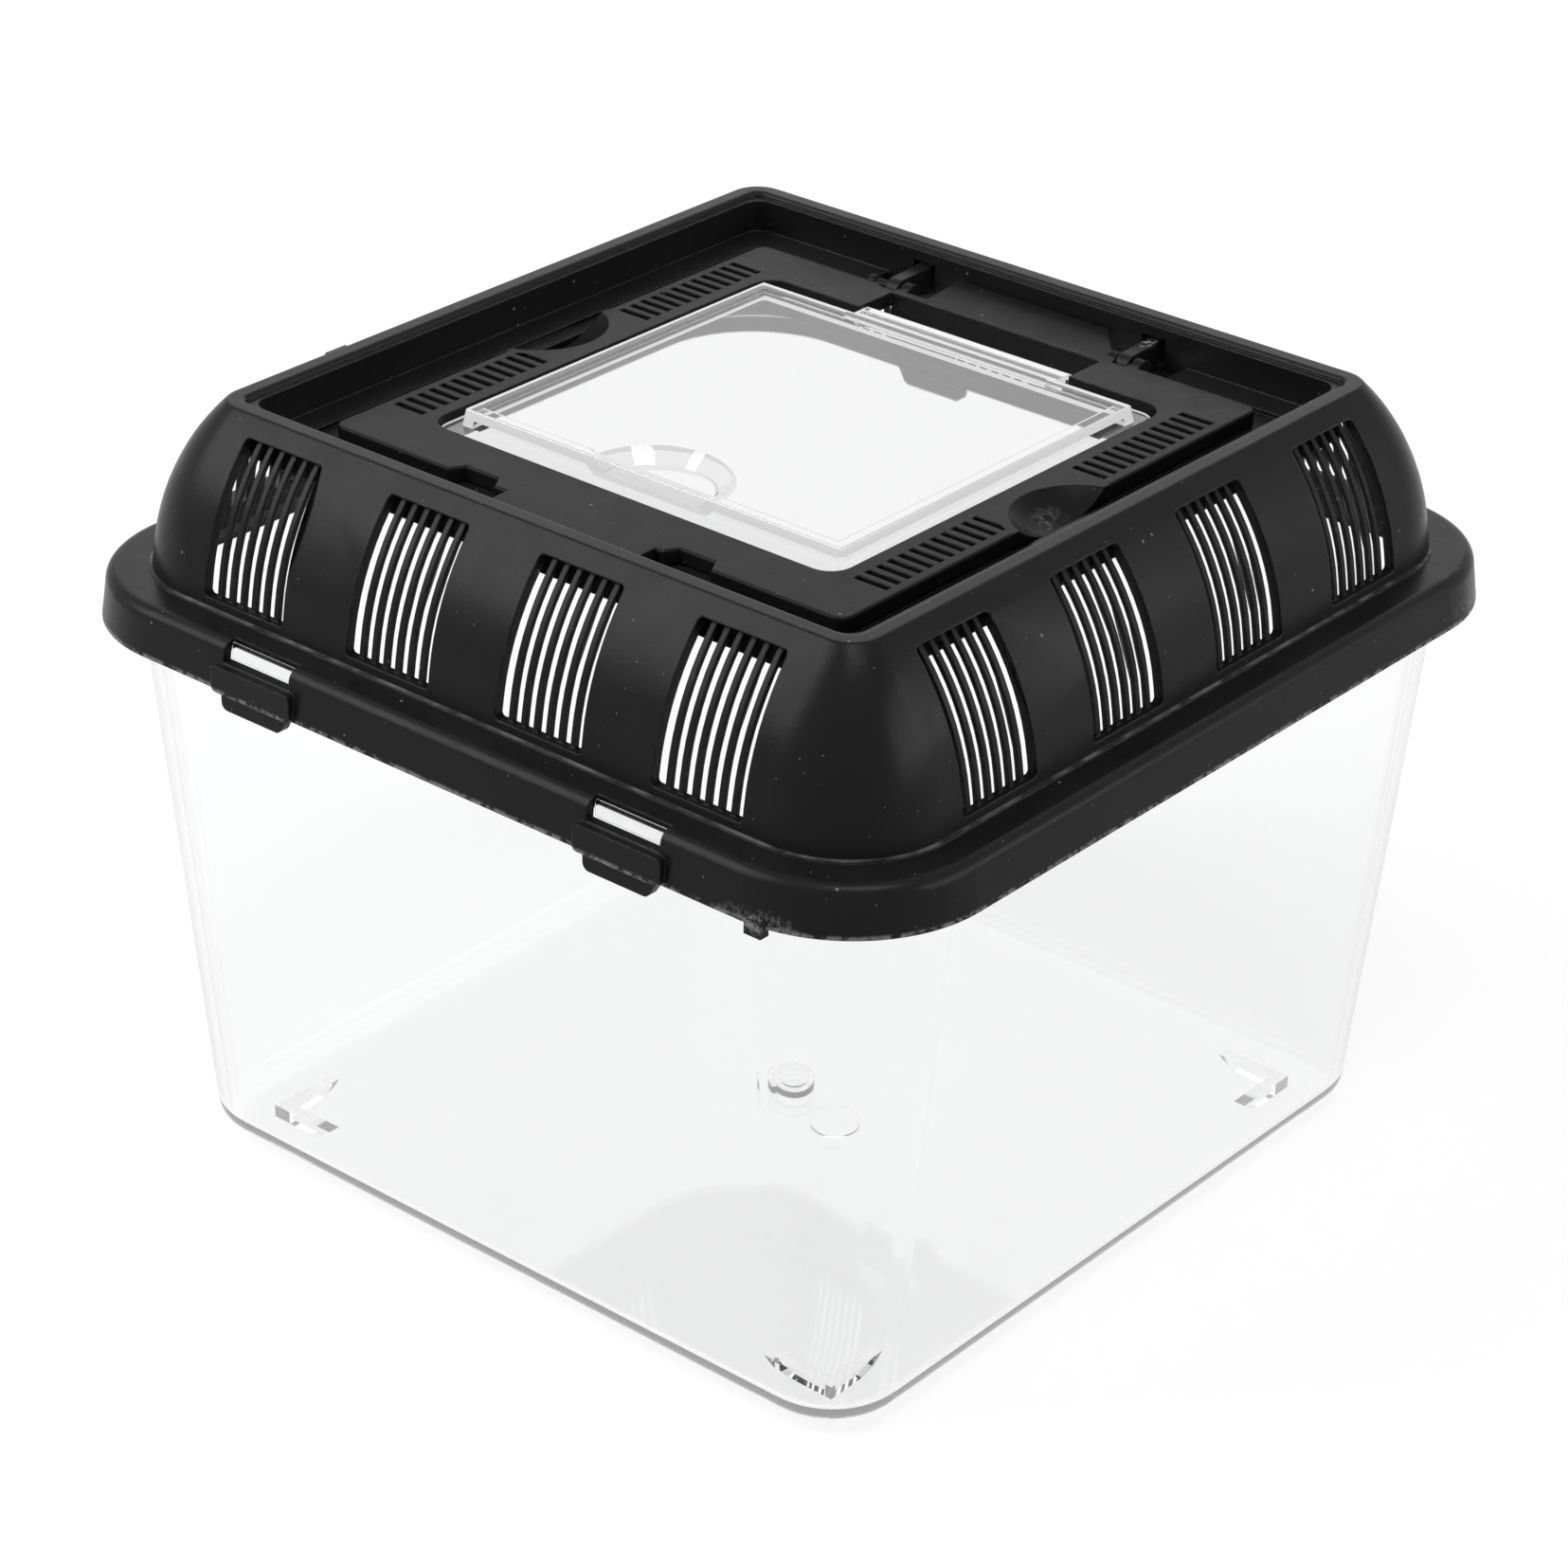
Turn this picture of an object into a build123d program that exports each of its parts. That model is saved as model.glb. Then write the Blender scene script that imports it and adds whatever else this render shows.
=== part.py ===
from build123d import *
from math import atan2, cos, degrees, radians, sin, tan
import os

os.makedirs("parts", exist_ok=True)

# Clear breeding box with a black vented top frame, a hinged hatch and a small clear feeding door.
# All sizes are in millimetres and degrees. The box stands on its feet at Z = 0, centred on the
# origin. +Z is up, -Y is the front with the finger bowl, and +Y is the side of the hinges.

# Clear tub: a drafted square box with a stepped rim, four L feet and its moulding marks
tub_bottom_width = 159.5
tub_height = 112.0
tub_draft = 5.25
tub_wall = 2.0
tub_floor = 2.2
tub_corner = 14.0
tub_underside_fillet = 4.0
tub_floor_fillet = 2.5
rim_reach = 2.3
rim_height = 4.8
rim_step = 1.0
rim_step_height = 2.0
foot_height = 2.5
foot_span = 136.0
foot_arm = 14.5
foot_flat = 8.0
foot_wall = 2.5
gate_boss_diameter = 9.7
gate_boss_height = 2.1
gate_ring_wall = 1.05
gate_ring_depth = 1.2
mark_diameter = 10.9
mark_height = 0.3
mark_position = (15.4, -3.9)

# Top frame: skirt over the rim, flat shelf, domed sides and the sunk seat of the hatch
seat_gap = 0.3
skirt_gap = 0.3
skirt_wall = 1.8
skirt_height = 8.9
skirt_draft = 8.0
skirt_corner = 27.0
skirt_fillet = 2.3
shelf_thickness = 2.0
shelf_width = 7.3
plinth_step = 0.4
dome_rise = 31.3
dome_inset = 14.4
dome_lean = 8.24
dome_straight = 5.0
dome_wall = 2.0
dome_rim_corner = 5.5
rim_land = 4.4
rim_rounding = 0.9
well_corner = 3.8
well_depth = 7.2
well_wall = 2.0
ledge_width = 6.3
ledge_step = 0.8
ledge_thickness = 2.0

# Side vents: seven slots between six ribs that are set back from the skin of the dome
vents_per_side = 4
vent_pitch = 34.6
vent_width = 19.4
vent_taper = 89.2
vent_height = 26.4
vent_sill = 2.0
vent_corner = 0.8
rib_count = 6
rib_width = 1.1
rib_setback = 1.1

# Snap clips and rim windows of the skirt, on the front and on the back
clip_offset_left = 40.7
clip_offset_right = 43.4
clip_width = 16.0
clip_drop = 3.4
clip_slant = 2.0
clip_thickness = 2.0
clip_corner = 1.4
window_width = 15.8
window_height = 3.6
window_depth = 2.6
lip_reach = 0.9
lip_margin = 1.6
lip_drop = 5.0
nub_width = 3.5
nub_height = 2.0
nub_position = 71.5
runner_length = 6.0
runner_thickness = 1.6
runner_position = 38.0
runner_angle = 39.6
runner_reach = 1.2

# Hatch lid: square plate over the opening of the frame, with pins at its back edge
lid_gap = 3.7
lid_lap = 4.0
lid_thickness = 2.7
lid_corner = 2.5
lid_border = 11.8
door_opening_corner = 4.5
tongue_width = 33.5
tongue_offset = 0.75
tongue_gap = 1.5
grip_notch_width = 14.0
grip_notch_depth = 2.8
grip_notch_offset = 24.5
grille_slots = 12
grille_pitch = 2.83
grille_slot_width = 1.5
grille_slot_length = 7.0
grille_inset = 5.5
grille_front_offset = 28.4
grille_back_offset = 30.8
scoop_width = 24.0
scoop_reach = 8.3
scoop_bowl_depth = 4.6
scoop_wall = 1.2
collar_wall = 1.5
collar_drop = 1.2
collar_ledge = 1.4
collar_ledge_thickness = 1.0
hatch_pin_radius = 1.2
hatch_axis_setback = 2.2
hatch_axis_drop = 1.4
hatch_eye_wall = 0.9
hatch_ear_width = 2.0
hatch_ear_radius = 2.0
lug_width = 2.6
lug_left = 26.4
lug_right = 27.4
lug_side_gap = 0.5
lug_notch = 0.8
left_pin_overhang = 4.6
flap_half_width = 17.5
flap_bevel = 8.5
flap_gap = 1.0
flap_rise = 1.0
flap_thickness = 1.7
flap_start = 2.5
pin_gap = 0.3
seat_cut_width = 70.0
scoop_relief_length = 27.0
scoop_relief_reach = 0.5
pocket_margin = 1.4
pocket_height = 5.2
pocket_lift = 0.8
pocket_depth = 1.2
lug_rise = 0.3
snap_mouth = 2.0
lid_edge_rounding = 0.5
boss_length = 3.6
boss_reach = 2.0
knob_radius = 1.6
knob_length = 1.4

# Clear feeding door: shallow upturned tray with a raised border, a finger bowl and a hinge strip
door_gap = 0.5
door_flange_thickness = 1.2
door_flange_side = 3.0
door_flange_front = 5.5
door_flange_back = 4.7
door_height = 4.3
door_draft = 12.0
door_wall = 1.5
door_panel = 1.6
door_corner = 1.2
door_border = 2.2
door_border_step = 0.7
door_edge_rounding = 0.4
bowl_radius = 14.6
bowl_slope = 3.9
bowl_floor = 1.2
bowl_setback = 1.4
strip_half_width = 23.5
strip_side_gap = 0.9
strip_thickness = 1.2
door_axis_setback = 1.3
door_axis_lift = 0.9
door_knuckle_radius = 1.4
door_pin_radius = 1.0
door_pin_length = 2.1
door_notch_depth = 9.5
curtain_wall = 1.5
curtain_drop = 2.6

# Heights and half widths that follow from the sizes above
tub_base = foot_height
tub_top = tub_base + tub_height
tub_slope = tan(radians(tub_draft))
tub_corner_centre = tub_bottom_width / 2 - tub_corner
tub_floor_top = tub_base + tub_floor
rim_half = tub_bottom_width / 2 + tub_height * tub_slope + rim_reach
foot_half = foot_span / 2

shelf_bottom = tub_top + seat_gap
shelf_top = shelf_bottom + shelf_thickness
skirt_bottom = shelf_top - skirt_height
skirt_slope = tan(radians(skirt_draft))
skirt_top_half = rim_half + skirt_gap + skirt_wall - shelf_thickness * skirt_slope
skirt_bottom_half = skirt_top_half + skirt_height * skirt_slope
dome_foot_half = skirt_top_half - shelf_width
dome_rim_half = dome_foot_half - dome_inset
dome_corner_centre = dome_rim_half - dome_rim_corner
frame_top = shelf_top + dome_rise
well_half = dome_rim_half - rim_land
ledge_top = frame_top - well_depth
seat_top = ledge_top - ledge_step
seat_bottom = seat_top - ledge_thickness
seat_half = well_half - ledge_width

lid_half = seat_half - lid_gap
opening_half = lid_half - lid_lap
lid_bottom = seat_top + seat_gap
lid_top = lid_bottom + lid_thickness
door_opening_half = lid_half - lid_border

# Side of the dome in section: a straight stretch that leans inwards, then one arc up to the rim
dome_shoulder = dome_foot_half - dome_straight * tan(radians(dome_lean))
arc_inset = dome_rim_half - dome_shoulder
arc_rise = dome_rise - dome_straight
arc_lean = arc_inset * cos(radians(dome_lean)) + arc_rise * sin(radians(dome_lean))
dome_radius = -(arc_inset ** 2 + arc_rise ** 2) / (2 * arc_lean)
dome_centre = dome_shoulder - dome_radius * cos(radians(dome_lean))
dome_centre_z = shelf_top + dome_straight - dome_radius * sin(radians(dome_lean))
dome_rim_angle = degrees(atan2(frame_top - dome_centre_z, dome_rim_half - dome_centre))

hatch_axis_y = lid_half + hatch_axis_setback
hatch_axis_z = lid_top - hatch_axis_drop
eye_radius = hatch_pin_radius + pin_gap
lug_radius = eye_radius + hatch_eye_wall
pocket_z = hatch_axis_z + pocket_lift
collar_bottom = lid_bottom - collar_drop
collar_ledge_top = collar_bottom + collar_ledge_thickness

door_bottom = collar_ledge_top + seat_gap
door_top = door_bottom + door_height
door_flange_half = door_opening_half - door_gap
door_half_x = door_flange_half - door_flange_side
door_half_y = door_flange_half - door_flange_front
door_flare = door_height * tan(radians(door_draft))
door_panel_top = door_top - door_border_step
bowl_y = bowl_setback - door_half_y
door_axis_y = door_opening_half + door_axis_setback
door_axis_z = door_bottom + door_axis_lift
notch_half = strip_half_width + strip_side_gap
tongue_front = well_half - tongue_gap
tongue_root = lid_half - grip_notch_depth
flap_front = lid_half - flap_start
flap_back = well_half - flap_gap
lug_room = lug_width / 2 + lug_side_gap
scoop_circle = ((scoop_width / 2) ** 2 + scoop_reach ** 2) / (2 * scoop_reach)
scoop_sphere = (scoop_circle ** 2 + scoop_bowl_depth ** 2) / (2 * scoop_bowl_depth)
scoop_x = lid_half - scoop_reach + scoop_circle
scoop_z = lid_top - scoop_bowl_depth + scoop_sphere


def rounded_square(half, corner):
    """Square face with rounded corners, given by its half width."""
    RectangleRounded(2 * half, 2 * half, corner)


def side_plane(quarter, distance):
    """Upright plane at a distance from the middle, facing out of side 0 (front), 1, 2 or 3."""
    turn = radians(90 * quarter)
    outward = (sin(turn), -cos(turn), 0)
    return Plane(
        origin=(distance * sin(turn), -distance * cos(turn), 0),
        x_dir=(cos(turn), sin(turn), 0),
        z_dir=outward,
    )


def dome_point(angle, depth):
    """Point in the dome's section at a depth under the skin, as (distance from the middle, Z)."""
    radius = dome_radius - depth
    turn = radians(angle)
    return (dome_centre + radius * cos(turn), dome_centre_z + radius * sin(turn))


def dome_foot(depth):
    """Lower end of the straight stretch of the dome's section, at a depth under the skin."""
    distance, height = dome_point(dome_lean, depth)
    reach = height - shelf_top + shelf_thickness / 2
    return (distance + reach * tan(radians(dome_lean)), height - reach)


def dome_side(depth):
    """Leaning line and arc of the dome's section at a depth under the skin."""
    Line(dome_foot(depth), dome_point(dome_lean, depth))
    CenterArc(
        (dome_centre, dome_centre_z),
        dome_radius - depth,
        dome_lean,
        dome_rim_angle - dome_lean,
    )


# Inside of the tub
inner_half = tub_bottom_width / 2 + tub_floor * tub_slope - tub_wall
with BuildPart() as tub_hollow:
    with BuildSketch(Plane.XY.offset(tub_floor_top)):
        rounded_square(inner_half, inner_half - tub_corner_centre)
    extrude(amount=tub_height)
    hollow_sides = tub_hollow.faces().filter_by(Axis.Z, reverse=True)
    draft(hollow_sides, Plane.XY.offset(tub_floor_top), -tub_draft)
    fillet(tub_hollow.faces().sort_by(Axis.Z)[0].edges(), tub_floor_fillet)

# The clear tub
with BuildPart() as clear_tub:
    with BuildSketch(Plane.XY.offset(tub_base)):
        rounded_square(tub_bottom_width / 2, tub_corner)
    extrude(amount=tub_height)
    tub_sides = clear_tub.faces().filter_by(Axis.Z, reverse=True)
    draft(tub_sides, Plane.XY.offset(tub_base), -tub_draft)
    fillet(clear_tub.faces().sort_by(Axis.Z)[0].edges(), tub_underside_fillet)
    # Rim: a wide lower flange and a narrower step on top of it
    with BuildSketch(Plane.XY.offset(tub_top - rim_height)):
        rounded_square(rim_half, rim_half - tub_corner_centre)
    extrude(amount=rim_height - rim_step_height)
    with BuildSketch(Plane.XY.offset(tub_top - rim_step_height)):
        rounded_square(rim_half - rim_step, rim_half - rim_step - tub_corner_centre)
    extrude(amount=rim_step_height)
    add(tub_hollow.part, mode=Mode.SUBTRACT)
    # Feet: eight arms that meet in pairs as four L shapes, each arm curving up at its free end
    for quarter in range(4):
        with BuildSketch(side_plane(quarter, foot_half)):
            with BuildLine():
                flat_end = (foot_half - foot_flat, 0)
                arm_end = (foot_half - foot_arm, foot_height)
                Line((foot_half, 0), flat_end)
                TangentArc(flat_end, arm_end, tangent=(-1, 0))
                Polyline(
                    arm_end,
                    (foot_half - foot_arm, foot_height + tub_floor / 2),
                    (foot_half, foot_height + tub_floor / 2),
                    (foot_half, 0),
                )
            make_face()
            mirror(about=Plane.YZ)
        extrude(amount=-foot_wall)
    # Gate boss with its ring, and the flat ejector mark beside it
    with BuildSketch(Plane.XY.offset(tub_floor_top - tub_floor / 2)):
        Circle(gate_boss_diameter / 2)
    extrude(amount=tub_floor / 2 + gate_boss_height)
    with BuildSketch(Plane.XY.offset(tub_floor_top + gate_boss_height)):
        Circle(gate_boss_diameter / 2 - gate_ring_wall)
    extrude(amount=-gate_ring_depth, mode=Mode.SUBTRACT)
    with BuildSketch(Plane.XY.offset(tub_floor_top - tub_floor / 2)):
        with Locations(mark_position):
            Circle(mark_diameter / 2)
    extrude(amount=tub_floor / 2 + mark_height)

clear_tub.part.label = "clear_tub"
export_step(clear_tub.part, "parts/clear_tub.step")

# Cutter that sinks every vent to the outer face of its ribs: outlines cut off at a depth under the skin
vent_middle = shelf_top + vent_sill + vent_height / 2
vent_places = [
    (vent_pitch * (index - (vents_per_side - 1) / 2), vent_middle)
    for index in range(vents_per_side)
]
vent_start = well_half + well_wall
vent_reach = skirt_bottom_half - vent_start
rib_pitch = vent_width / (rib_count + 1)
with BuildPart() as vent_sinks:
    with BuildSketch(side_plane(2, vent_start)):
        with Locations(*vent_places):
            Trapezoid(vent_width, vent_height, vent_taper)
        fillet(vertices(), vent_corner)
    extrude(amount=vent_reach)
    with BuildSketch(Plane.YZ):
        with BuildLine():
            dome_side(rib_setback)
            Polyline(
                dome_point(dome_rim_angle, rib_setback),
                (well_half, dome_point(dome_rim_angle, rib_setback)[1]),
                (well_half, dome_foot(rib_setback)[1]),
                dome_foot(rib_setback),
            )
        make_face()
    extrude(amount=dome_foot_half, both=True, mode=Mode.SUBTRACT)

# Hollow of the skirt
with BuildPart() as skirt_hollow:
    with BuildSketch(Plane.XY.offset(skirt_bottom)):
        rounded_square(skirt_bottom_half - skirt_wall, skirt_corner - skirt_wall)
    extrude(amount=skirt_height - shelf_thickness)
    hollow_sides = skirt_hollow.faces().filter_by(Axis.Z, reverse=True)
    draft(hollow_sides, Plane.XY.offset(skirt_bottom), skirt_draft)

# The vented top frame
clip_places = (-clip_offset_left, clip_offset_right)
with BuildPart() as vented_top_frame:
    with BuildSketch(Plane.XY.offset(skirt_bottom)):
        rounded_square(skirt_bottom_half, skirt_corner)
    extrude(amount=skirt_height)
    skirt_sides = vented_top_frame.faces().filter_by(Axis.Z, reverse=True)
    draft(skirt_sides, Plane.XY.offset(skirt_bottom), skirt_draft)
    fillet(vented_top_frame.faces().sort_by(Axis.Z)[-1].edges(), skirt_fillet)
    # Lips under the rim windows, snap clips below them and one small nub beside the front clips
    for quarter in (0, 2):
        with BuildSketch(side_plane(quarter, skirt_bottom_half + lip_reach)):
            with Locations(*[(place, skirt_bottom + lip_drop / 2) for place in clip_places]):
                RectangleRounded(window_width + 2 * lip_margin, lip_drop, lip_reach)
        extrude(amount=-lip_reach - skirt_wall)
        with BuildSketch(side_plane(quarter, skirt_bottom_half)):
            with Locations(*[(place, skirt_bottom) for place in clip_places]):
                Polygon(
                    (-clip_width / 2, skirt_wall),
                    (-clip_width / 2, -clip_drop),
                    (clip_width / 2 - clip_slant, -clip_drop),
                    (clip_width / 2, 0),
                    (clip_width / 2, skirt_wall),
                    align=None,
                )
            fillet(vertices().group_by(Axis.Y)[0], clip_corner)
        extrude(amount=-clip_thickness)
    with BuildSketch(side_plane(0, skirt_bottom_half)):
        with Locations((nub_position, skirt_bottom)):
            Rectangle(nub_width, 2 * nub_height)
    extrude(amount=-clip_thickness)
    # Hollow of the skirt and the windows that show the rim of the tub
    add(skirt_hollow.part, mode=Mode.SUBTRACT)
    for quarter in (0, 2):
        with BuildSketch(side_plane(quarter, skirt_top_half - window_depth)):
            with Locations(*[(place, shelf_top - window_height / 2) for place in clip_places]):
                Rectangle(window_width, window_height)
        extrude(amount=window_depth + lip_drop, mode=Mode.SUBTRACT)
    # Low plinth, open inside, and the domed sides: one section swept round the shelf
    plinth_inside = dome_foot(dome_wall)[0]
    plinth_half = dome_foot_half + plinth_step
    with BuildSketch(Plane.XY.offset(shelf_bottom)):
        rounded_square(plinth_half, plinth_half - dome_corner_centre)
    extrude(amount=shelf_thickness + plinth_step)
    with BuildSketch(Plane.XY.offset(shelf_bottom)):
        rounded_square(plinth_inside, plinth_inside - dome_corner_centre)
    extrude(amount=shelf_thickness + plinth_step, mode=Mode.SUBTRACT)
    with BuildLine(Plane.XY.offset(shelf_top)) as dome_path:
        FilletPolyline(
            (0, dome_foot_half),
            (dome_foot_half, dome_foot_half),
            (dome_foot_half, -dome_foot_half),
            (0, -dome_foot_half),
            radius=dome_foot_half - dome_corner_centre,
        )
        mirror(about=Plane.YZ)
    with BuildSketch(Plane.YZ):
        with BuildLine():
            dome_side(0)
            dome_side(dome_wall)
            Line(dome_foot(0), dome_foot(dome_wall))
            Polyline(
                dome_point(dome_rim_angle, 0),
                (well_half + well_wall / 2, frame_top),
                (well_half + well_wall / 2, dome_point(dome_rim_angle, dome_wall)[1]),
                dome_point(dome_rim_angle, dome_wall),
            )
        make_face()
    sweep(path=dome_path.wire())
    fillet(vented_top_frame.faces().sort_by(Axis.Z)[-1].outer_wire().edges(), rim_rounding)
    runner_distance, runner_z = dome_point(runner_angle, -runner_reach)
    with BuildSketch(side_plane(3, runner_distance)):
        with Locations((runner_position, runner_z)):
            SlotOverall(runner_length, runner_thickness)
    extrude(amount=-runner_reach - dome_wall / 2)
    # Vents: sunk panels, and slots right through between the ribs
    for quarter in range(4):
        add(vent_sinks.part, rotation=(0, 0, 90 * quarter), mode=Mode.SUBTRACT)
        with BuildSketch(side_plane(quarter, vent_start)):
            with Locations(*vent_places):
                Trapezoid(vent_width, vent_height, vent_taper)
            fillet(vertices(), vent_corner)
            with Locations(*vent_places):
                with GridLocations(rib_pitch, 0, rib_count, 1):
                    Rectangle(rib_width, 2 * vent_height, mode=Mode.SUBTRACT)
        extrude(amount=vent_reach, mode=Mode.SUBTRACT)
    # Well of the hatch: wall, ledge, lower seat and the opening
    with BuildSketch(Plane.XY.offset(seat_bottom)):
        rounded_square(well_half + well_wall, well_corner + well_wall)
    extrude(amount=frame_top - dome_wall / 2 - seat_bottom)
    with BuildSketch(Plane.XY.offset(ledge_top)):
        rounded_square(well_half, well_corner)
    extrude(amount=well_depth, mode=Mode.SUBTRACT)
    fillet(vented_top_frame.faces().sort_by(Axis.Z)[-1].inner_wires()[0].edges(), rim_rounding)
    with BuildSketch(Plane.XY.offset(seat_top)):
        rounded_square(seat_half, lid_corner)
    extrude(amount=ledge_step, mode=Mode.SUBTRACT)
    with BuildSketch(Plane.XY.offset(seat_bottom)):
        rounded_square(opening_half, lid_corner)
        # The flap and the hinge swing down behind the opening, and the scoops hang beside it
        with Locations((0, (opening_half + well_half) / 2)):
            Rectangle(seat_cut_width, well_half - opening_half)
        Rectangle(2 * (lid_half + scoop_relief_reach), scoop_relief_length)
    extrude(amount=ledge_top - seat_bottom, mode=Mode.SUBTRACT)
    # Hinge lugs: each springs from a pocket in the back wall and hooks over the pin of the hatch
    with BuildSketch(Plane.XZ.offset(-well_half)):
        with Locations((-lug_left, pocket_z), (lug_right, pocket_z)):
            Rectangle(lug_width + 2 * pocket_margin, pocket_height)
    extrude(amount=-pocket_depth, mode=Mode.SUBTRACT)
    for place in (-lug_left, lug_right):
        with BuildSketch(Plane.YZ.offset(place - lug_width / 2)):
            with Locations((hatch_axis_y, hatch_axis_z)):
                Polygon(
                    (0, lug_radius),
                    (0, -lug_radius),
                    (well_half + pocket_depth + lug_rise - hatch_axis_y, -lug_radius - lug_rise),
                    (well_half + pocket_depth + lug_rise - hatch_axis_y, lug_radius + lug_rise),
                    align=None,
                )
                Circle(lug_radius)
                Circle(eye_radius, mode=Mode.SUBTRACT)
            with Locations((hatch_axis_y, hatch_axis_z - lug_radius / 2 - lug_rise)):
                Rectangle(snap_mouth, lug_radius, mode=Mode.SUBTRACT)
        extrude(amount=lug_width)

vented_top_frame.part.label = "vented_top_frame"
export_step(vented_top_frame.part, "parts/vented_top_frame.step")

# Thin bowls under the finger scoops of the hatch, cut off at its edge and at its top face
with BuildPart() as scoop_bowls:
    with Locations((scoop_x, 0, scoop_z)):
        Sphere(scoop_sphere + scoop_wall)
    with Locations((lid_half - scoop_reach, 0, lid_top - scoop_bowl_depth)):
        Box(2 * scoop_reach, scoop_relief_length, 2 * scoop_bowl_depth, mode=Mode.INTERSECT)
    mirror(about=Plane.YZ)

# The hatch lid
with BuildPart() as hatch_lid:
    with BuildSketch(Plane.XY.offset(lid_bottom)):
        rounded_square(lid_half, lid_corner)
        with Locations((-grip_notch_offset, -lid_half), (grip_notch_offset, -lid_half)):
            Trapezoid(grip_notch_width, 2 * grip_notch_depth, 60, mode=Mode.SUBTRACT)
        with Locations((-lug_left, lid_half), (lug_right, lid_half)):
            Rectangle(2 * lug_room, 2 * lug_notch, mode=Mode.SUBTRACT)
    extrude(amount=lid_thickness)
    fillet(hatch_lid.faces().sort_by(Axis.Z)[-1].edges(), lid_edge_rounding)
    # Front tongue over the ledge of the well
    with BuildSketch(Plane.XY.offset(ledge_top + seat_gap)):
        with Locations((tongue_offset, -(tongue_front + tongue_root) / 2)):
            Rectangle(tongue_width, tongue_front - tongue_root)
    extrude(amount=lid_top - ledge_top - seat_gap)
    # Rear flap: rises slightly towards the back wall, with its right corner cut off
    with BuildSketch(Plane.YZ.offset(-flap_half_width)):
        with BuildLine():
            flap_edge = (flap_back, lid_top + flap_rise)
            flap_sag = ((flap_front + flap_back) / 2, lid_top + flap_rise / 5)
            ThreePointArc((flap_front, lid_top), flap_sag, flap_edge)
            Polyline(
                flap_edge,
                (flap_back, lid_top + flap_rise - flap_thickness),
                (lid_half, lid_bottom),
                (flap_front, lid_bottom),
                (flap_front, lid_top),
            )
        make_face()
    extrude(amount=2 * flap_half_width + flap_bevel)
    with BuildSketch(Plane.XY.offset(lid_bottom)):
        with Locations((flap_half_width, flap_back)):
            Polygon(
                (0, 0),
                (flap_bevel, lid_half - flap_back),
                (flap_bevel + flap_rise, lid_half - flap_back),
                (flap_bevel + flap_rise, flap_rise),
                (0, flap_rise),
                align=None,
            )
    extrude(amount=lid_thickness + 2 * flap_rise, mode=Mode.SUBTRACT)
    # Ears and hinge pins at the back edge
    ear_spans = (
        (lug_room - lug_left, lug_room - lug_left + hatch_ear_width),
        (lug_right - lug_room - hatch_ear_width, lug_right - lug_room),
        (lug_right + lug_room, lug_right + lug_room + hatch_ear_width),
    )
    for start, end in ear_spans:
        with BuildSketch(Plane.YZ.offset(start)):
            with Locations((hatch_axis_y, hatch_axis_z)):
                Circle(hatch_ear_radius)
            with Locations((lid_half, (lid_bottom + lid_top) / 2)):
                Rectangle(2 * hatch_axis_setback, lid_thickness)
        extrude(amount=end - start)
    pin_spans = (
        (-lug_left - lug_room - left_pin_overhang, lug_room - lug_left, hatch_pin_radius),
        (
            -lug_left - lug_room - left_pin_overhang,
            knob_length - lug_left - lug_room - left_pin_overhang,
            knob_radius,
        ),
        (lug_right - lug_room, lug_right + lug_room, hatch_pin_radius),
    )
    for start, end, radius in pin_spans:
        with BuildSketch(Plane.YZ.offset(start)):
            with Locations((hatch_axis_y, hatch_axis_z)):
                Circle(radius)
        extrude(amount=end - start)
    # Collar round the door opening, with the bosses that take the pins of the door
    with BuildSketch(Plane.XY.offset(collar_bottom)):
        rounded_square(door_opening_half + collar_wall, door_opening_corner + collar_wall)
        with Locations((0, door_axis_y)):
            Rectangle(2 * (notch_half + boss_length), 2 * boss_reach)
    extrude(amount=lid_bottom + lid_thickness / 2 - collar_bottom)
    with BuildSketch(Plane.XY.offset(collar_ledge_top)):
        rounded_square(door_opening_half, door_opening_corner)
    extrude(amount=lid_top - collar_ledge_top, mode=Mode.SUBTRACT)
    with BuildSketch(Plane.XY.offset(collar_bottom)):
        rounded_square(door_opening_half - collar_ledge, door_opening_corner)
        with Locations((0, door_opening_half)):
            Rectangle(2 * notch_half, 2 * door_notch_depth)
    extrude(amount=lid_top + flap_rise - collar_bottom, mode=Mode.SUBTRACT)
    with BuildSketch(Plane.YZ.offset(-notch_half - boss_length / 2)):
        with Locations((door_axis_y, door_axis_z)):
            Circle(door_pin_radius + pin_gap)
    extrude(amount=2 * notch_half + boss_length, mode=Mode.SUBTRACT)
    # Curtain under the front edge of the flap, behind the hinge of the door
    with BuildSketch(Plane.XY.offset(lid_bottom - curtain_drop)):
        with Locations((0, door_opening_half + door_notch_depth + curtain_wall / 2)):
            Rectangle(2 * notch_half, curtain_wall)
    extrude(amount=curtain_drop + lid_thickness / 2)
    # Side grilles
    grille_x = lid_half - grille_inset
    with BuildSketch(Plane.XY.offset(lid_bottom)):
        for place in (
            (-grille_x, -grille_front_offset),
            (grille_x, -grille_front_offset),
            (-grille_x, grille_back_offset),
            (grille_x, grille_back_offset),
        ):
            with Locations(place):
                with GridLocations(0, grille_pitch, 1, grille_slots):
                    Rectangle(grille_slot_length, grille_slot_width)
    extrude(amount=lid_thickness, mode=Mode.SUBTRACT)
    # Finger scoops
    add(scoop_bowls.part)
    with Locations((-scoop_x, 0, scoop_z), (scoop_x, 0, scoop_z)):
        Sphere(scoop_sphere, mode=Mode.SUBTRACT)

hatch_lid.part.label = "hatch_lid"
export_step(hatch_lid.part, "parts/hatch_lid.step")

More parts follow.
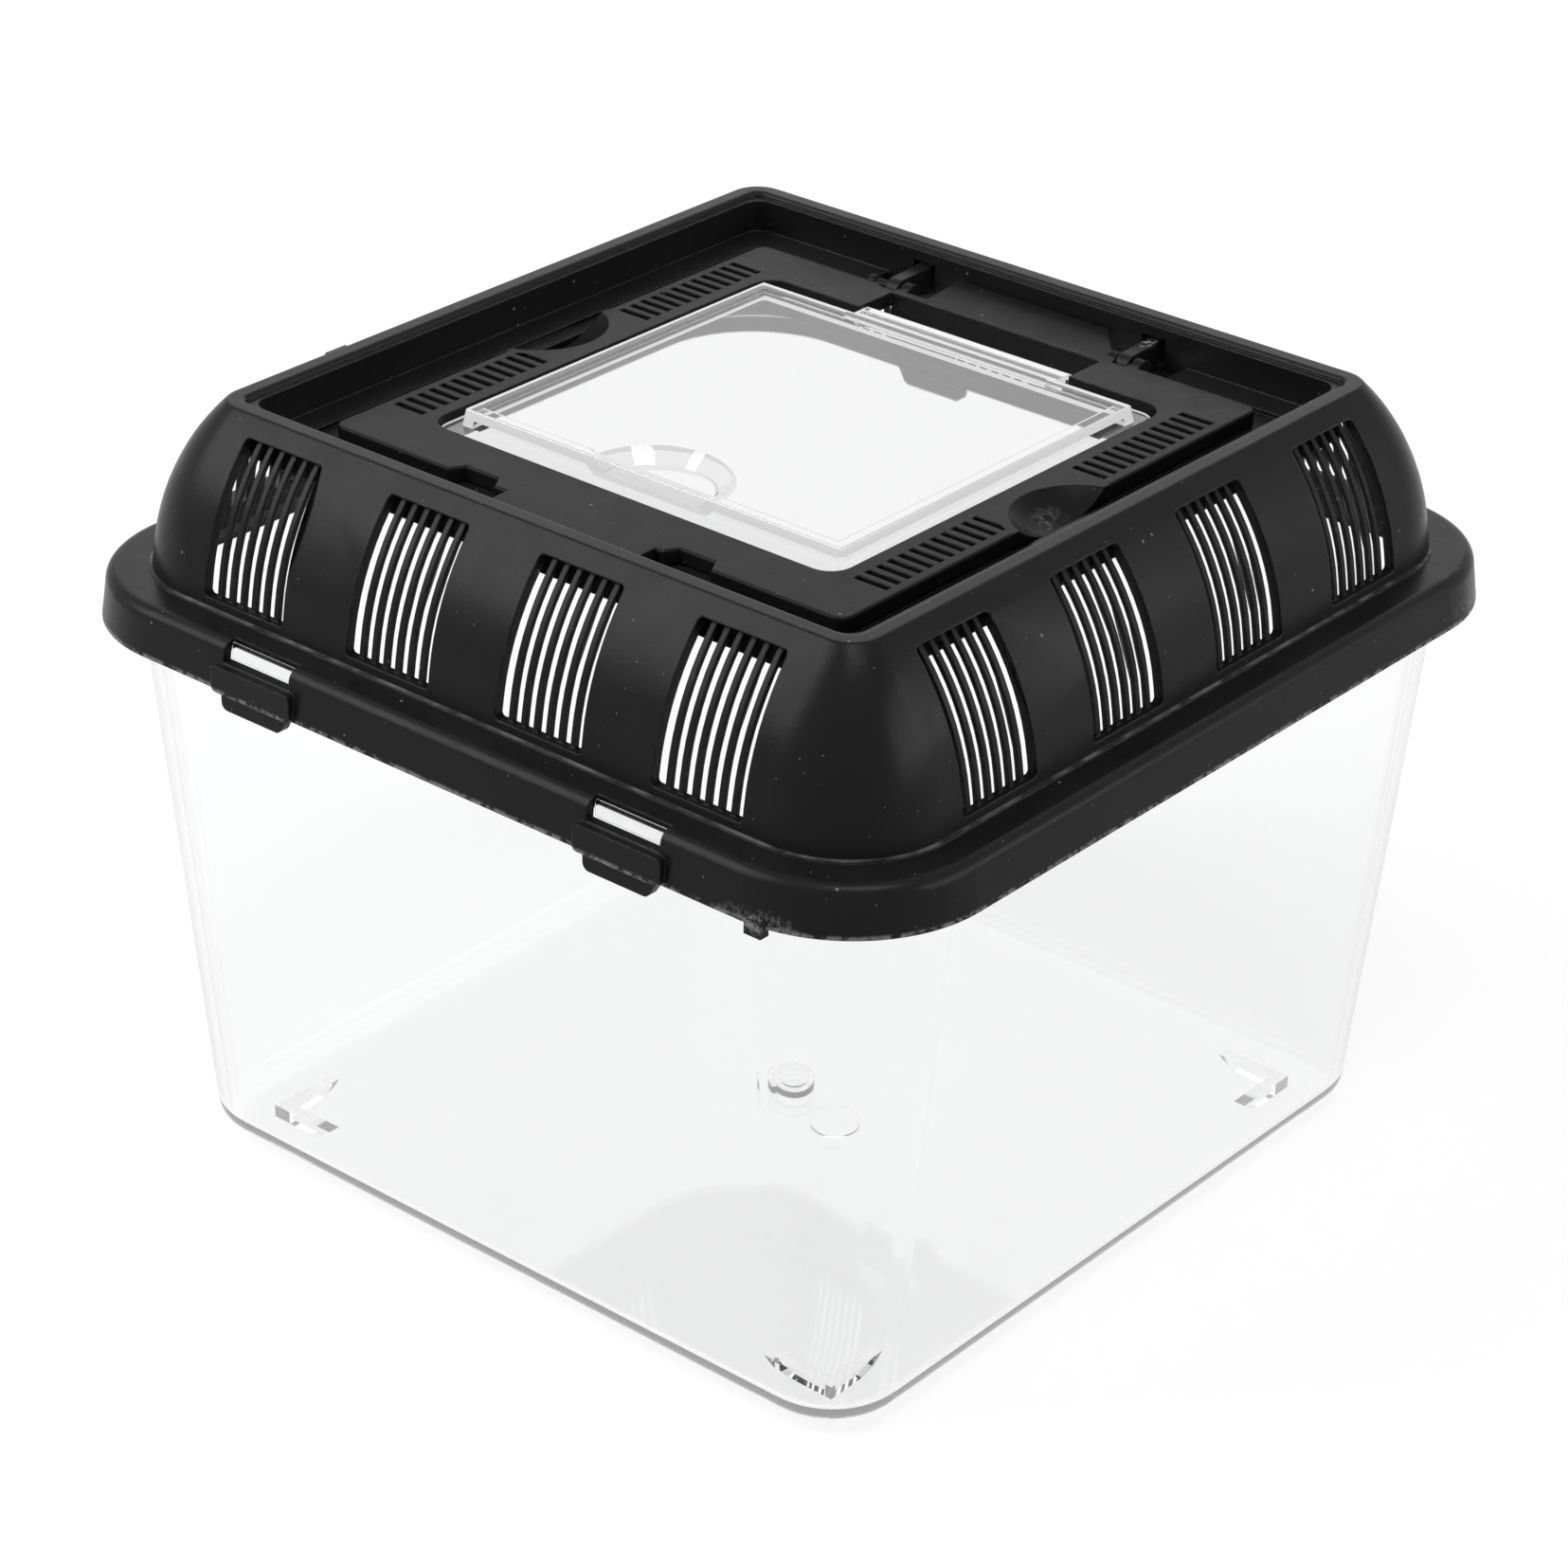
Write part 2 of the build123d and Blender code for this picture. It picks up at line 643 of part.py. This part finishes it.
# Skin and hollow of the finger bowl, cut off at the front wall of the door
bowl_bottom_radius = bowl_radius - bowl_slope
with BuildPart() as bowl_skin:
    with Locations((0, bowl_y, door_bottom)):
        Cone(
            bowl_bottom_radius + door_wall,
            bowl_radius + door_wall,
            door_panel_top - door_bottom,
            align=(Align.CENTER, Align.CENTER, Align.MIN),
        )
    split(bisect_by=Plane.XZ.offset(door_half_y), keep=Keep.BOTTOM)
with BuildPart() as bowl_hollow:
    with Locations((0, bowl_y, door_bottom + bowl_floor)):
        Cone(
            bowl_bottom_radius,
            bowl_radius,
            door_height - bowl_floor,
            align=(Align.CENTER, Align.CENTER, Align.MIN),
        )
    split(bisect_by=Plane.XZ.offset(door_half_y - door_wall), keep=Keep.BOTTOM)

# The clear feeding door
with BuildPart() as clear_feeding_door:
    with BuildSketch(Plane.XY.offset(door_bottom)):
        RectangleRounded(2 * (door_half_x + door_flare), 2 * (door_half_y + door_flare), door_corner)
    extrude(amount=door_height, taper=door_draft)
    fillet(clear_feeding_door.faces().sort_by(Axis.Z)[-1].edges(), door_edge_rounding)
    # Flange that rests on the ledge of the collar
    with BuildSketch(Plane.XY.offset(door_bottom)):
        with Locations((0, (door_flange_back - door_flange_front) / 2)):
            RectangleRounded(
                2 * door_flange_half,
                2 * door_half_y + door_flange_front + door_flange_back,
                door_opening_corner - door_gap,
            )
    extrude(amount=door_flange_thickness)
    # Hollow underside and the panel sunk inside the raised border
    hollow_x = door_half_x + door_flare - door_wall
    hollow_y = door_half_y + door_flare - door_wall
    with BuildSketch(Plane.XY.offset(door_bottom)):
        RectangleRounded(2 * hollow_x, 2 * hollow_y, door_corner)
    extrude(
        amount=door_panel_top - door_panel - door_bottom,
        taper=door_draft,
        mode=Mode.SUBTRACT,
    )
    with BuildSketch(Plane.XY.offset(door_panel_top)):
        Rectangle(2 * (door_half_x - door_border), 2 * (door_half_y - door_border))
    extrude(amount=door_border_step, mode=Mode.SUBTRACT)
    # Finger bowl behind the front wall
    add(bowl_skin.part)
    add(bowl_hollow.part, mode=Mode.SUBTRACT)
    # Hinge strip with its knuckle and pins
    with BuildSketch(Plane.XY.offset(door_bottom + door_flange_thickness)):
        with Locations((0, (door_half_y + door_axis_y) / 2)):
            Rectangle(2 * strip_half_width, door_axis_y - door_half_y)
    extrude(amount=strip_thickness)
    for half_length, radius in (
        (strip_half_width, door_knuckle_radius),
        (strip_half_width + door_pin_length, door_pin_radius),
    ):
        with BuildSketch(Plane.YZ.offset(-half_length)):
            with Locations((door_axis_y, door_axis_z)):
                Circle(radius)
        extrude(amount=2 * half_length)

clear_feeding_door.part.label = "clear_feeding_door"
export_step(clear_feeding_door.part, "parts/clear_feeding_door.step")
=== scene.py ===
import math
import bmesh
import bpy
from mathutils import Matrix, Vector


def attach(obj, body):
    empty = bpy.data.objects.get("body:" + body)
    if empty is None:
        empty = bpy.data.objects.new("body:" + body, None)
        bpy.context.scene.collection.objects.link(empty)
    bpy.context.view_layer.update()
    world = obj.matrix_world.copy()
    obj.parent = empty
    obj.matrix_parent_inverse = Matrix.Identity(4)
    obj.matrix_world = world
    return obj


# Lengths are in metres, the scales of noise and cells are per metre, and colours are linear

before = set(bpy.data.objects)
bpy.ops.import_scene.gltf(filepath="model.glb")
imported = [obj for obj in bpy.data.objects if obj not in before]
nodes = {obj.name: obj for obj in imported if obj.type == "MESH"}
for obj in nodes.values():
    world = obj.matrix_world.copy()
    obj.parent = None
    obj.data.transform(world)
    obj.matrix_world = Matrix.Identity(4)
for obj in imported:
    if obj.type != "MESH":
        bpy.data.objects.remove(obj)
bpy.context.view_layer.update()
scene = bpy.context.scene


def grey(value):
    return (value, value, value, 1)


class Tree:
    """A node tree, and what adds and joins its nodes."""

    def __init__(self, tree):
        self.tree = tree

    def feed(self, socket, value):
        """Links another socket to this one, or sets it to a constant."""
        if isinstance(value, bpy.types.NodeSocket):
            self.tree.links.new(value, socket)
        else:
            socket.default_value = value

    def add(self, kind, sockets=None, **settings):
        """A new node, its sockets given by name or number."""
        node = self.tree.nodes.new(kind)
        for key, value in settings.items():
            setattr(node, key, value)
        for key, value in (sockets or {}).items():
            self.feed(node.inputs[key], value)
        return node

    def math(self, operation, *values):
        return self.add("ShaderNodeMath", dict(enumerate(values)), operation=operation).outputs["Value"]

    def white(self, strength):
        """A white emission of this strength."""
        return self.add("ShaderNodeEmission", {"Color": grey(1), "Strength": strength}).outputs["Emission"]

    def choose(self, factor, low, high):
        """One shader where the factor is 0 and the other where it is 1."""
        return self.add("ShaderNodeMixShader", {0: factor, 1: low, 2: high}).outputs["Shader"]

    def where_seen(self, lit, shown):
        """The shown shader for camera, glossy and transmission rays, and the lit one for the rest."""
        path = self.add("ShaderNodeLightPath")
        seen = path.outputs["Is Camera Ray"]
        for label in ("Is Glossy Ray", "Is Transmission Ray"):
            seen = self.math("MAXIMUM", seen, path.outputs[label])
        return self.choose(seen, lit, shown)


class Shader(Tree):
    """The nodes of a new material with a Principled shader."""

    def __init__(self, name):
        self.material = bpy.data.materials.new(name)
        self.material.use_nodes = True
        super().__init__(self.material.node_tree)
        self.bsdf = self.tree.nodes["Principled BSDF"]
        self.surface = self.tree.nodes["Material Output"].inputs["Surface"]
        self.place = self.add("ShaderNodeTexCoord").outputs["Object"]

    def set(self, **values):
        """Sets or links the Principled shader's sockets."""
        for key, value in values.items():
            self.feed(self.bsdf.inputs[key.replace("_", " ")], value)

    def mix(self, factor, low, high):
        """One colour where the factor is 0 and the other where it is 1."""
        colours = {"Factor": factor, "A": low, "B": high}
        return self.add("ShaderNodeMix", colours, data_type="RGBA").outputs["Result"]

    def ramp(self, value, between, values=(0.0, 1.0)):
        """Turns one range into another and holds it at the ends."""
        ends = {"From Min": between[0], "From Max": between[1], "To Min": values[0], "To Max": values[1]}
        return self.add("ShaderNodeMapRange", {"Value": value, **ends}).outputs["Result"]

    def fade(self, distance, reach, core):
        """1 out to this share of the reach, falling to 0 at the reach."""
        return self.ramp(distance, (core * reach, reach), (1.0, 0.0))

    def noise(self, scale, detail, rough=0.5):
        sockets = {"Vector": self.place, "Scale": scale, "Detail": detail, "Roughness": rough}
        return self.add("ShaderNodeTexNoise", sockets).outputs["Fac"]

    def patches(self, scale, detail, between, values=(0.0, 1.0), rough=0.5):
        """Noise that goes from the first value to the second between two of its levels."""
        return self.ramp(self.noise(scale, detail, rough), between, values)

    def bump(self, height, strength, depth, under=None):
        """Gives the Principled shader a relief, on top of another normal where one is given."""
        relief = self.add("ShaderNodeBump", {"Height": height, "Strength": strength, "Distance": depth})
        if under:
            self.feed(relief.inputs["Normal"], under)
        self.set(Normal=relief.outputs["Normal"])

    def edge(self, radius):
        """A value that is 0 on a flat and rises on a sharp edge, and the normal with edges rounded."""
        rounded = self.add("ShaderNodeBevel", {"Radius": radius}, samples=bevel_samples).outputs["Normal"]
        normal = self.add("ShaderNodeNewGeometry").outputs["Normal"]
        dot = self.add("ShaderNodeVectorMath", {0: rounded, 1: normal}, operation="DOT_PRODUCT")
        return self.math("SUBTRACT", 1.0, dot.outputs["Value"]), rounded

    def specks(self, scale, size, shift=(0, 0, 0)):
        """Sparse round grains, their size a share of a cell. The shift moves the whole pattern."""
        moved = self.add("ShaderNodeVectorMath", {0: self.place, 1: shift}, operation="ADD")
        cells = self.add("ShaderNodeTexVoronoi", {"Vector": moved.outputs["Vector"], "Scale": scale})
        return self.fade(cells.outputs["Distance"], size, core=0.6)

    def level(self, height, reach):
        """1 at this height, falling to 0 at the reach above and below it."""
        parts = self.add("ShaderNodeSeparateXYZ", {"Vector": self.place})
        above = self.math("SUBTRACT", parts.outputs["Z"], height)
        return self.fade(self.math("ABSOLUTE", above), reach, core=0.4)

    def near(self, centre, size):
        """1 at a place, falling to 0 at the size along each axis."""
        moved = self.add("ShaderNodeVectorMath", {0: self.place, 1: centre}, operation="SUBTRACT")
        scaled = self.add("ShaderNodeVectorMath", {0: moved.outputs["Vector"], 1: size}, operation="DIVIDE")
        length = self.add("ShaderNodeVectorMath", {0: scaled.outputs["Vector"]}, operation="LENGTH")
        return self.fade(length.outputs["Value"], 1.0, core=0.3)


# Black plastic: its tones, what marks it, and its painted highlights
plastic_ior = 1.49
mould_tones = ((0.006, 0.006, 0.0062, 1), (0.010, 0.010, 0.0103, 1))
bevel_samples = 6
edge_radius = 0.0004
# Painted highlight: sharp edges are painted this paler tone, standing in for the light they catch
edge_highlight_tone = grey(0.075)
edge_highlight_strength = 0.7
band_bottom = 0.1079  # foot of the skirt, with its ragged line of flash
flash_reach = 0.0009
dome_foot = 0.1172  # top of the low plinth, where the dome starts
# The pale line at the dome's foot is a painted highlight on the small ridge there; the same pale tone also
# marks the skirt's flash
ridge_highlight_reach = 0.00022
ridge_highlight_strength = 0.6
flash_and_highlight_tone = grey(0.16)
dust_tone = grey(0.15)
fine_dust_shift = (0.31, 0.17, 0.53)
grain_strength = 0.06
grain_depth = 0.0003

# place, size along each axis, and how pale the mark is: three handling scuffs, then a painted glint on the
# right hinge lug
scuffs_and_glint = (
    ((0.0735, -0.0955, 0.1085), (0.011, 0.004, 0.0026), 0.16),
    ((0.0955, 0.0840, 0.1105), (0.004, 0.016, 0.003), 0.12),
    ((0.0550, 0.0000, 0.1395), (0.0035, 0.005, 0.004), 0.08),
    # Painted glint on the end of the right hinge lug's pin, a painted highlight rather than a scuff
    ((0.0274, 0.0660, 0.1440), (0.0014, 0.0030, 0.0016), 0.35),
)


def black_plastic(name, gloss):
    """Satin black moulded plastic: fine grain, rounded edges that catch the light and are painted paler as
    a painted highlight, a painted highlight line at the dome's foot, a painted glint on a hinge lug, dust
    and handling marks.
    """
    s = Shader(name)
    tone = s.mix(s.noise(scale=55.0, detail=3.0), *mould_tones)

    sharp, rounded = s.edge(edge_radius)
    # Sharp edges painted paler where noise lets them through: a painted highlight, not wear
    edge_highlight_breaks = s.patches(scale=420.0, detail=3.0, between=(0.40, 0.68), values=(0.12, 1.0))
    edge_highlight = s.math("MULTIPLY", s.ramp(sharp, between=(0.015, 0.22)), edge_highlight_breaks)
    tone = s.mix(s.math("MULTIPLY", edge_highlight, edge_highlight_strength), tone, edge_highlight_tone)

    ragged = s.patches(scale=520.0, detail=5.0, rough=0.7, between=(0.45, 0.56))
    flash = s.math("MULTIPLY", s.level(band_bottom, flash_reach), ragged)
    # A broken pale line at the dome's foot: a painted highlight on its small ridge
    broken = s.patches(scale=160.0, detail=3.0, between=(0.42, 0.62))
    ridge_highlight = s.math("MULTIPLY", s.level(dome_foot, ridge_highlight_reach), broken)
    # The ragged flash and the painted ridge highlight share one pale tone
    flash_and_ridge_highlight = s.math("MAXIMUM", flash, s.math("MULTIPLY", ridge_highlight, ridge_highlight_strength))
    tone = s.mix(flash_and_ridge_highlight, tone, flash_and_highlight_tone)

    streaks = s.patches(scale=900.0, detail=5.0, rough=0.7, between=(0.47, 0.60))
    # The scuffs and the one painted glint, each broken into streaks
    for centre, size, pale in scuffs_and_glint:
        tone = s.mix(s.math("MULTIPLY", s.near(centre, size), streaks), tone, grey(pale))

    coarse_dust = s.specks(scale=140.0, size=0.045)
    fine_dust = s.specks(scale=330.0, size=0.05, shift=fine_dust_shift)
    tone = s.mix(s.math("MAXIMUM", coarse_dust, fine_dust), tone, dust_tone)

    sheen = s.patches(scale=140.0, detail=2.0, between=(0.3, 0.7), values=(0.26, 0.34))
    s.set(Base_Color=tone, Roughness=sheen, IOR=plastic_ior, Specular_IOR_Level=gloss)
    s.bump(s.noise(scale=1400.0, detail=1.0), grain_strength, grain_depth, under=rounded)
    return s.material


# Clear plastic: how smooth it is, and the slow ripple of its surface
clear_roughness = 0.02
ripple_scale = 24.0
ripple_depth = 0.0006


def clear_plastic(name, colour, ior, tint, bounces, glow, ripple):
    """Clear moulded plastic that bends light. A ray reflected bounces times or more meets a pale glow."""
    s = Shader(name)
    s.set(Base_Color=colour, Specular_Tint=grey(tint), IOR=ior)
    s.set(Roughness=clear_roughness, Transmission_Weight=1.0)
    s.bump(s.noise(ripple_scale, detail=1.0), ripple, ripple_depth)
    path = s.add("ShaderNodeLightPath")
    caught = s.math("GREATER_THAN", path.outputs["Glossy Depth"], bounces - 0.5)
    s.feed(s.surface, s.choose(caught, s.bsdf.outputs["BSDF"], s.white(glow)))
    return s.material


black = black_plastic("black_plastic", gloss=0.085)
lid_black = black_plastic("lid_black_plastic", gloss=0.052)
clear = clear_plastic(
    "clear_plastic", (0.968, 0.970, 0.970, 1), ior=1.36, tint=0.1, bounces=2, glow=0.34, ripple=0.05
)
door_clear = clear_plastic(
    "door_clear_plastic", (0.82, 0.822, 0.822, 1), ior=1.49, tint=1.0, bounces=1, glow=0.74, ripple=0.03
)
for name, material in (
    ("vented_top_frame", black),
    ("hatch_lid", lid_black),
    ("clear_tub", clear),
    ("clear_feeding_door", door_clear),
):
    materials = nodes[name].data.materials
    for i in range(len(materials)):
        materials[i] = material


# small pieces of the moulding
def finish_piece(name, mesh_data, body, material):
    """Makes an object of the mesh that rides on a body."""
    bmesh.ops.recalc_face_normals(mesh_data, faces=mesh_data.faces)
    mesh = bpy.data.meshes.new(name)
    mesh_data.to_mesh(mesh)
    mesh_data.free()
    piece = bpy.data.objects.new(name, mesh)
    scene.collection.objects.link(piece)
    mesh.materials.append(material)
    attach(piece, body)


def along(ends, i, steps):
    """The place after i of these equal steps from one end to the other."""
    return ends[0] + (ends[1] - ends[0]) * i / steps


def sheet(name, x_ends, y_ends, top, thickness, steps, body, material):
    """A closed sheet over a rectangle, with its top at top(x, y)."""
    nx, ny = steps
    ys = [along(y_ends, j, ny) for j in range(ny + 1)]
    mesh_data = bmesh.new()
    layers = []
    for drop in (0.0, thickness):
        grid = []
        for i in range(nx + 1):
            x = along(x_ends, i, nx)
            grid.append([mesh_data.verts.new((x, y, top(x, y) - drop)) for y in ys])
        layers.append(grid)
    upper, lower = layers
    for i in range(nx):
        for j in range(ny):
            mesh_data.faces.new((upper[i][j], upper[i + 1][j], upper[i + 1][j + 1], upper[i][j + 1]))
            mesh_data.faces.new((lower[i][j], lower[i][j + 1], lower[i + 1][j + 1], lower[i + 1][j]))
    loop = [(i, 0) for i in range(nx)] + [(nx, j) for j in range(ny)]
    loop += [(i, ny) for i in range(nx, 0, -1)] + [(0, j) for j in range(ny, 0, -1)]
    for (i, j), (m, n) in zip(loop, loop[1:] + loop[:1]):
        mesh_data.faces.new((upper[i][j], lower[i][j], lower[m][n], upper[m][n]))
    finish_piece(name, mesh_data, body, material)


def bar(name, outline, x_ends, edge_bevel, body, material):
    """A bar along X with this outline in Y and Z, all its edges bevelled."""
    mesh_data = bmesh.new()
    start, end = [[mesh_data.verts.new((x, y, z)) for y, z in outline] for x in x_ends]
    for k in range(len(outline)):
        n = (k + 1) % len(outline)
        mesh_data.faces.new((start[k], end[k], end[n], start[n]))
    mesh_data.faces.new(start)
    mesh_data.faces.new(end[::-1])
    bmesh.ops.bevel(
        mesh_data, geom=mesh_data.edges[:], offset=edge_bevel, segments=1, affect="EDGES",
        clamp_overlap=True,
    )
    finish_piece(name, mesh_data, body, material)


# A tray under each finger scoop closes the frame below the bowl of the hatch
scoop_x = 0.062585
scoop_z = 0.158677
tray_radius = 0.0220
tray_rim = 0.1398
tray_x = (0.0500, 0.0590)
tray_y = (-0.0140, 0.0140)
tray_thickness = 0.0009
tray_steps = (18, 56)


def tray_top(x, y):
    """A ball round the same centre as the scoop's, its lower side no higher than the tray's rim."""
    flat = (abs(x) - scoop_x) ** 2 + y ** 2
    return min(tray_rim, scoop_z - math.sqrt(max(tray_radius ** 2 - flat, 0.0)))


for side, label in ((1, "right"), (-1, "left")):
    sheet(
        "scoop_tray_" + label, sorted(side * x for x in tray_x), tray_y, tray_top, tray_thickness,
        tray_steps, "top_frame", black,
    )

# A floor from under each hinge lug outwards closes the corner of the cut-out behind the hatch
hinge_floor_outer = 0.0355
hinge_floor_y = (0.0626, 0.0699)
hinge_floor_z = 0.1389
hinge_floor_thickness = 0.0008
hinge_floor_steps = (6, 6)


def hinge_floor_top(x, y):
    """Level all over."""
    return hinge_floor_z


for side, inner, label in ((1, 0.0276, "right"), (-1, 0.0266, "left")):
    sheet(
        "hinge_floor_" + label, sorted((side * inner, side * hinge_floor_outer)), hinge_floor_y,
        hinge_floor_top, hinge_floor_thickness, hinge_floor_steps, "top_frame", black,
    )

# The clear rim's catches, seen in the windows of the top frame. The back ones are the front ones
# turned by half a turn
catch_outline = (
    (0.09240, 0.1134), (0.09276, 0.1134), (0.09276, 0.1152), (0.09254, 0.1165), (0.09240, 0.1165),
)
catch_middles = (0.0407, -0.0434)
catch_half = 0.0076
catch_bevel = 0.00008
for side, label in ((-1, "front"), (1, "back")):
    outline = [(side * y, z) for y, z in catch_outline]
    for middle in (side * x for x in catch_middles):
        end = "left" if middle < 0 else "right"
        bar(
            "rim_catch_" + label + "_" + end, outline, (middle - catch_half, middle + catch_half),
            catch_bevel, "tub", clear,
        )


# camera
camera_place = (0.46824, -0.56542, 0.46332)
view_right = Vector((0.76893, 0.63933, 0.0))
view_up = Vector((-0.30233, 0.36361, 0.88114))
view_back = Vector((0.56334, -0.67754, 0.47288)).normalized()
camera_roll = math.radians(1.1467)
camera_right = (math.cos(camera_roll) * view_right + math.sin(camera_roll) * view_up).normalized()
camera_up = view_back.cross(camera_right).normalized()
turn = Matrix((camera_right, camera_up, view_back)).transposed().to_4x4()

camera_data = bpy.data.cameras.new("camera")
camera_data.sensor_fit = "HORIZONTAL"
camera_data.sensor_width = 36.0
camera_data.lens = 103.97
camera_data.clip_start = 0.01
camera_data.clip_end = 20.0
camera = bpy.data.objects.new("camera", camera_data)
scene.collection.objects.link(camera)
camera.matrix_world = Matrix.Translation(camera_place) @ turn
scene.camera = camera


# The rays that see the floor meet a white glow, dimmed a little near the object as painted shade, and a lit
# share that shows its shadow
studio_reach = 6.0
studio_drop = 0.0002
studio_tone = 0.9
studio_roughness = 0.9
shadow_tone = 0.25
# Painted shade: the share by which the floor's glow is dimmed around the object
glow_far = 1.0
painted_shade_dip = 0.2
painted_shade_reach = 1.3

corners = [(-1, -1), (1, -1), (1, 1), (-1, 1)]
floor_mesh = bpy.data.meshes.new("studio_floor")
floor_mesh.from_pydata([(studio_reach * x, studio_reach * y, 0) for x, y in corners], [], [(0, 1, 2, 3)])
floor = bpy.data.objects.new("studio_floor", floor_mesh)
scene.collection.objects.link(floor)
floor.location.z = -studio_drop

plain = Shader("studio_floor")
plain.set(Base_Color=grey(studio_tone), Roughness=studio_roughness)
shadowed = plain.add("ShaderNodeBsdfDiffuse", {"Color": grey(shadow_tone)}).outputs["BSDF"]
# The floor's glow, dimmed around the object as painted shade
painted_shade = plain.math("MULTIPLY", plain.near((0, 0, 0), (painted_shade_reach, painted_shade_reach, painted_shade_reach)), painted_shade_dip)
glow = plain.white(plain.math("SUBTRACT", glow_far, painted_shade))
shown = plain.add("ShaderNodeAddShader", {0: glow, 1: shadowed}).outputs["Shader"]
plain.feed(plain.surface, plain.where_seen(plain.bsdf.outputs["BSDF"], shown))
floor_mesh.materials.append(plain.material)

# The world lights the object weakly and is white to the rays that see it
world_light = 0.12
world = bpy.data.worlds.new("studio")
scene.world = world
world.use_nodes = True
sky = Tree(world.node_tree)
background = sky.tree.nodes["Background"]
sky.feed(background.inputs["Color"], grey(1))
sky.feed(background.inputs["Strength"], world_light)
world_surface = sky.tree.nodes["World Output"].inputs["Surface"]
sky.feed(world_surface, sky.where_seen(background.outputs["Background"], sky.white(1.0)))

# name, place, height of the point on the Z axis that it faces, width and height, and watts
lamps = (
    ("back_light", (-0.68, 0.82, 0.72), 0.14, (1.1, 0.8), 1.9),
    ("left_light", (-0.64, -0.68, 0.82), 0.12, (0.65, 0.95), 12.5),
    ("right_light", (1.10, 0.46, 0.47), 0.12, (1.0, 0.55), 7.5),
    ("top_light", (0.34, -0.22, 1.10), 0.12, (0.5, 0.45), 5.0),
)
for name, place, aim, (width, height), power in lamps:
    data = bpy.data.lights.new(name, "AREA")
    data.shape = "RECTANGLE"
    data.size = width
    data.size_y = height
    data.energy = power
    lamp = bpy.data.objects.new(name, data)
    scene.collection.objects.link(lamp)
    lamp.location = place
    lamp.rotation_euler = (Vector((0, 0, aim)) - Vector(place)).to_track_quat("-Z", "Y").to_euler()

scene.view_settings.view_transform = "Standard"
